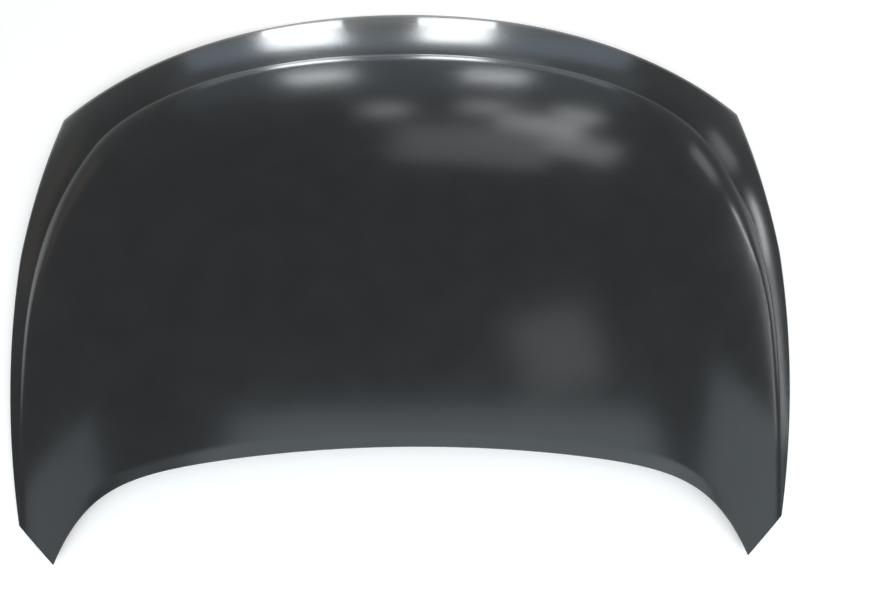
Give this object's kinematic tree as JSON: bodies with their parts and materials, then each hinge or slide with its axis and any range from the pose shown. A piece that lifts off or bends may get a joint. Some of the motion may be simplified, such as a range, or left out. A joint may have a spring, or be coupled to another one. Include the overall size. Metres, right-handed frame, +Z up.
{
  "type": "car bonnet",
  "caption": "Pressed steel car bonnet with a raised centre panel, a lower band round its front and sides, and a ribbed inner panel.",
  "frame": {"origin": "bottom centre of the bounding box: the bonnet rests outer side up on its nose edge and rear corners", "axes": "+X across the car, +Y towards the nose, +Z up out of the outer face"},
  "size_m": [1.4382, 1.1242, 0.1452],
  "materials": {
    "skin_coat": "satin black primer on pressed steel",
    "inner_coat": "thin satin black primer on pressed steel",
    "reinforcement_coat": "satin black primer on thicker steel",
    "nut_steel": "primed weld nut steel",
    "mastic": "matt cured mastic"
  },
  "bodies": {
    "root": {"outer_skin": "skin_coat", "inner_panel": "inner_coat", "hinge_right_reinforcement": "reinforcement_coat", "hinge_left_reinforcement": "reinforcement_coat", "striker_reinforcement": "reinforcement_coat", "hinge_right_weld_nut_1": "nut_steel", "hinge_right_weld_nut_2": "nut_steel", "hinge_left_weld_nut_1": "nut_steel", "hinge_left_weld_nut_2": "nut_steel", "striker_weld_nut_1": "nut_steel", "striker_weld_nut_2": "nut_steel", "mastic_right_1": "mastic", "mastic_right_2": "mastic", "mastic_right_3": "mastic", "mastic_right_4": "mastic", "mastic_right_5": "mastic", "mastic_right_6": "mastic", "mastic_right_7": "mastic", "mastic_right_8": "mastic", "mastic_left_1": "mastic", "mastic_left_2": "mastic", "mastic_left_3": "mastic", "mastic_left_4": "mastic", "mastic_left_5": "mastic", "mastic_left_6": "mastic", "mastic_left_7": "mastic", "mastic_left_8": "mastic"}
  },
  "joints": []
}
